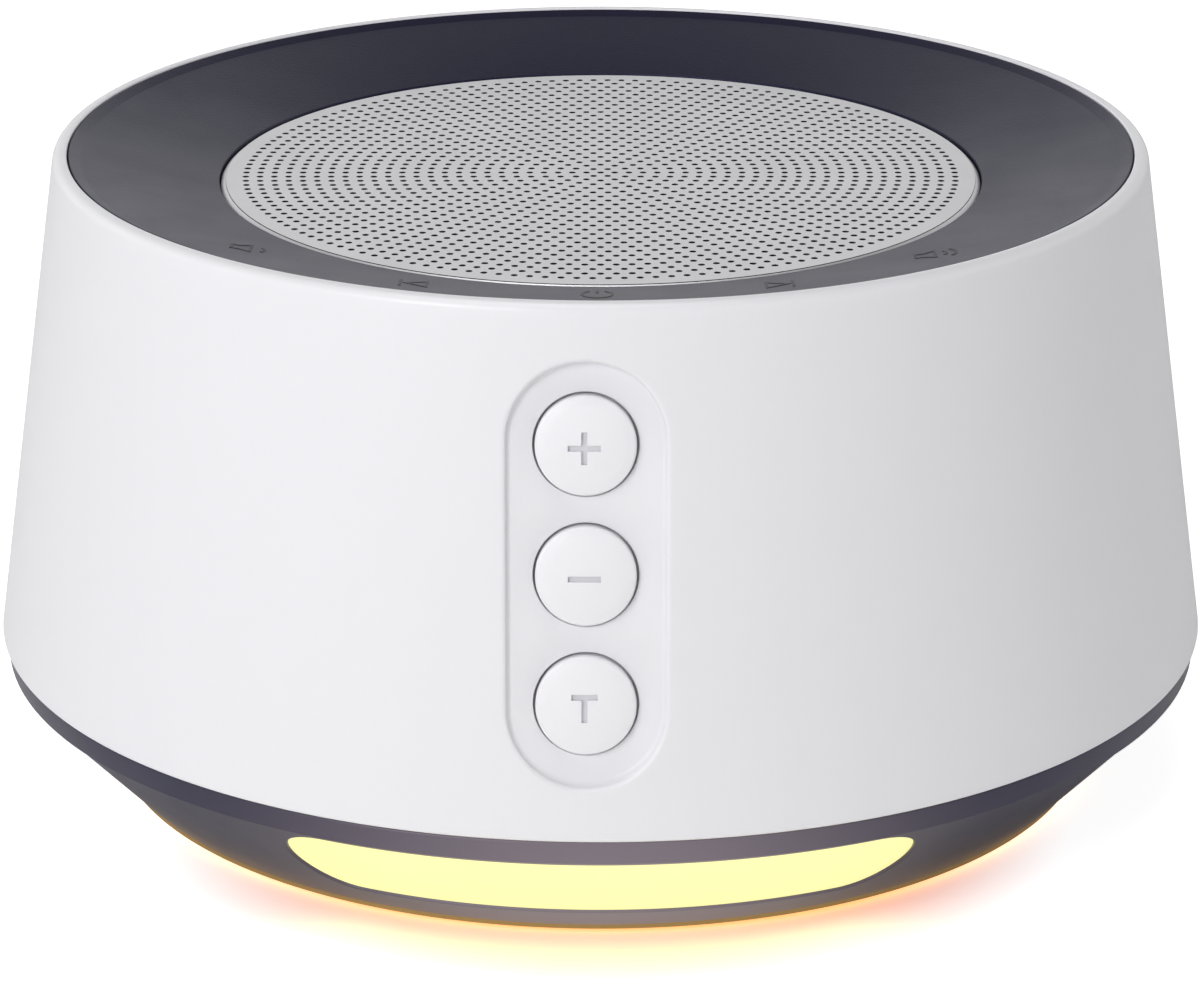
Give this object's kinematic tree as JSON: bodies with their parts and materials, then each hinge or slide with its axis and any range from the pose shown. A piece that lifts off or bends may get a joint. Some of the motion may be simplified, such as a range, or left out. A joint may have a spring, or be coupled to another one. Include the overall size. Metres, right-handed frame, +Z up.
{
  "type": "white noise sound machine",
  "caption": "Round tapered sound machine with a dished top and perforated speaker grille, push buttons in a front well and a night light window in its flared base.",
  "frame": {"origin": "on the surface that the feet stand on, under the middle", "axes": "+Z up, -Y towards the buttons, +X to the right as seen from the front"},
  "size_m": [0.11, 0.11, 0.0575],
  "materials": {
    "shell_white": "satin moulded plastic",
    "dish_soft": "soft-touch coating, fine grain",
    "grille_silver": "bead-blasted, perforated",
    "cloth_black": "fine acoustic cloth",
    "steel": "zinc plated",
    "rubber_black": "matt",
    "paper_black": "pressed paper",
    "ferrite": "sintered",
    "copper": "lacquered wire",
    "circuit_green": "solder mask",
    "circuit_white": "white solder mask",
    "foam_grey": "conductive foam",
    "button_white": "satin moulded plastic",
    "switch_black": "moulded",
    "bowl_dark": "satin moulded plastic",
    "diffuser_warm": "translucent, lit",
    "plate_dark": "fine texture",
    "diode_warm": "phosphor"
  },
  "bodies": {
    "housing": {"outer_shell": "shell_white", "top_dish": "dish_soft", "speaker_grille": "grille_silver", "grille_cloth": "cloth_black", "speaker_basket": "steel", "speaker_surround": "rubber_black", "speaker_cone": "paper_black", "dust_cap": "paper_black", "speaker_magnet": "ferrite", "voice_coil": "copper", "speaker_screws": "steel", "touch_board": "circuit_green", "touch_pads": "foam_grey", "button_board": "circuit_green", "button_switches": "switch_black", "panel_screws": "steel", "base_bowl": "bowl_dark", "light_diffuser": "diffuser_warm", "base_plate": "plate_dark", "rubber_feet": "rubber_black", "case_screws": "steel", "main_board": "circuit_green", "board_components": "switch_black", "power_socket": "steel", "board_screws": "steel", "lamp_board": "circuit_white", "lamp_diodes": "diode_warm"},
    "brighter": {"button_brighter": "button_white", "plunger_brighter": "switch_black"},
    "dimmer": {"button_dimmer": "button_white", "plunger_dimmer": "switch_black"},
    "timer": {"button_timer": "button_white", "plunger_timer": "switch_black"}
  },
  "joints": [
    {"name": "brighter_press", "type": "slide", "parent": "housing", "child": "brighter", "axis": [0, 0.9905, -0.1374], "range_m": [0, 0.0005], "stiffness_N_per_m": 900, "springref_m": -0.0008},
    {"name": "dimmer_press", "type": "slide", "parent": "housing", "child": "dimmer", "axis": [0, 0.9905, -0.1374], "range_m": [0, 0.0005], "stiffness_N_per_m": 900, "springref_m": -0.0008},
    {"name": "timer_press", "type": "slide", "parent": "housing", "child": "timer", "axis": [0, 0.9905, -0.1374], "range_m": [0, 0.0005], "stiffness_N_per_m": 900, "springref_m": -0.0008}
  ]
}
